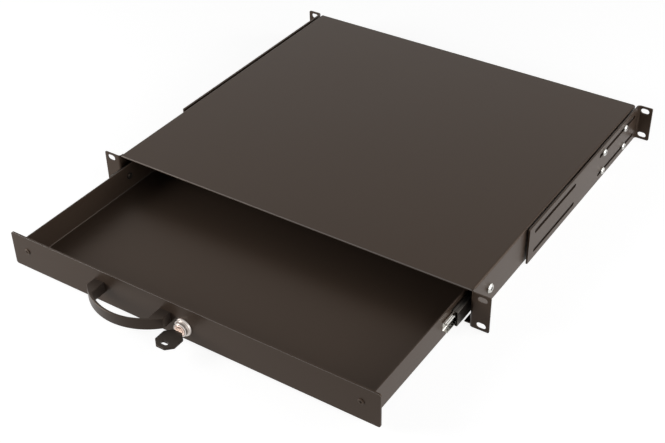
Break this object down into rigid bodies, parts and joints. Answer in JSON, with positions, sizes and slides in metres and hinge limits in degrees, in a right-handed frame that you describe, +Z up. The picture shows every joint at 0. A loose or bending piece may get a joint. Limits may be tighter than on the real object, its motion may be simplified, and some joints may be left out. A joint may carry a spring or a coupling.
{
  "type": "sliding rack drawer",
  "caption": "Shallow lockable drawer on telescopic ball slides in a sheet metal case with rack ears, bow handle and adjustable rear brackets.",
  "frame": {"origin": "centre of the four front ear slots, on the ears' rear face where it meets the rack posts", "axes": "+X to the right seen from the front, +Y towards the back of the rack, +Z up"},
  "size_m": [0.4826, 0.6071, 0.0436],
  "materials": {
    "case_paint": "dark brown-black satin powder coat",
    "tray_paint": "dark brown-black satin powder coat",
    "panel_paint": "dark brown-black satin powder coat",
    "bracket_paint": "dark brown-black satin powder coat",
    "handle_paint": "black satin paint",
    "zinc_plate": "zinc plated sheet",
    "rail_zinc": "zinc plated rolled steel",
    "cage_steel": "thin pressed steel",
    "ball_steel": "polished bearing steel",
    "zinc_screw": "zinc plated",
    "black_screw": "black oxide",
    "lock_nickel": "nickel plated die casting",
    "plug_brass": "brass with a worn nickel face",
    "key_metal": "nickel-brass",
    "key_plastic": "black moulded plastic"
  },
  "bodies": {
    "case": {"case_shell": "case_paint", "lock_strike": "zinc_plate", "right_outer_rail": "rail_zinc", "right_outer_rail_screws": "zinc_screw", "right_bracket_nuts": "zinc_screw", "right_bracket_screws": "zinc_screw", "left_outer_rail": "rail_zinc", "left_outer_rail_screws": "zinc_screw", "left_bracket_nuts": "zinc_screw", "left_bracket_screws": "zinc_screw"},
    "drawer": {"drawer_tray": "tray_paint", "front_panel": "panel_paint", "panel_screws": "black_screw", "handle": "handle_paint", "handle_screws": "zinc_screw", "inner_rail_screws": "black_screw", "lock_body": "lock_nickel", "lock_nut": "lock_nickel", "right_inner_rail": "rail_zinc", "left_inner_rail": "rail_zinc"},
    "lock": {"lock_plug": "plug_brass", "lock_cam": "zinc_plate", "cam_screw": "zinc_screw"},
    "key": {"key_blade": "key_metal", "key_bow": "key_plastic"},
    "right_middle": {"right_middle_rail": "rail_zinc"},
    "right_outer_cage": {"right_outer_ball_cage": "cage_steel", "right_outer_balls": "ball_steel"},
    "right_inner_cage": {"right_inner_ball_cage": "cage_steel", "right_inner_balls": "ball_steel"},
    "right_bracket": {"right_rear_bracket": "bracket_paint"},
    "left_middle": {"left_middle_rail": "rail_zinc"},
    "left_outer_cage": {"left_outer_ball_cage": "cage_steel", "left_outer_balls": "ball_steel"},
    "left_inner_cage": {"left_inner_ball_cage": "cage_steel", "left_inner_balls": "ball_steel"},
    "left_bracket": {"left_rear_bracket": "bracket_paint"}
  },
  "joints": [
    {"name": "drawer_slide", "type": "slide", "parent": "case", "child": "drawer", "axis": [0, -1, 0], "range_m": [-0.1629, 0.137]},
    {"name": "right_middle_slide", "type": "slide", "parent": "case", "child": "right_middle", "axis": [0, -1, 0], "range_m": [-0.08165, 0.0687]},
    {"name": "right_outer_cage_slide", "type": "slide", "parent": "case", "child": "right_outer_cage", "axis": [0, -1, 0], "range_m": [-0.04092, 0.03445]},
    {"name": "right_inner_cage_slide", "type": "slide", "parent": "case", "child": "right_inner_cage", "axis": [0, -1, 0], "range_m": [-0.12237, 0.10295]},
    {"name": "right_bracket_slide", "type": "slide", "parent": "case", "child": "right_bracket", "axis": [0, 1, 0], "range_m": [-0.028, 0.01]},
    {"name": "left_middle_slide", "type": "slide", "parent": "case", "child": "left_middle", "axis": [0, -1, 0], "range_m": [-0.08165, 0.0687]},
    {"name": "left_outer_cage_slide", "type": "slide", "parent": "case", "child": "left_outer_cage", "axis": [0, -1, 0], "range_m": [-0.04092, 0.03445]},
    {"name": "left_inner_cage_slide", "type": "slide", "parent": "case", "child": "left_inner_cage", "axis": [0, -1, 0], "range_m": [-0.12237, 0.10295]},
    {"name": "left_bracket_slide", "type": "slide", "parent": "case", "child": "left_bracket", "axis": [0, 1, 0], "range_m": [-0.028, 0.01]},
    {"name": "lock_turn", "type": "hinge", "parent": "drawer", "child": "lock", "pos_m": [0.0018, -0.166, -0.0026], "axis": [0, -1, 0], "range_deg": [0, 90]},
    {"name": "key_pull", "type": "slide", "parent": "lock", "child": "key", "axis": [0, -1, 0], "range_m": [0, 0.026]}
  ],
  "couplings": [
    {"joint": "right_middle_slide", "follows": "drawer_slide", "ratio": 0.5},
    {"joint": "right_outer_cage_slide", "follows": "drawer_slide", "ratio": 0.25},
    {"joint": "right_inner_cage_slide", "follows": "drawer_slide", "ratio": 0.75},
    {"joint": "left_middle_slide", "follows": "drawer_slide", "ratio": 0.5},
    {"joint": "left_outer_cage_slide", "follows": "drawer_slide", "ratio": 0.25},
    {"joint": "left_inner_cage_slide", "follows": "drawer_slide", "ratio": 0.75}
  ]
}
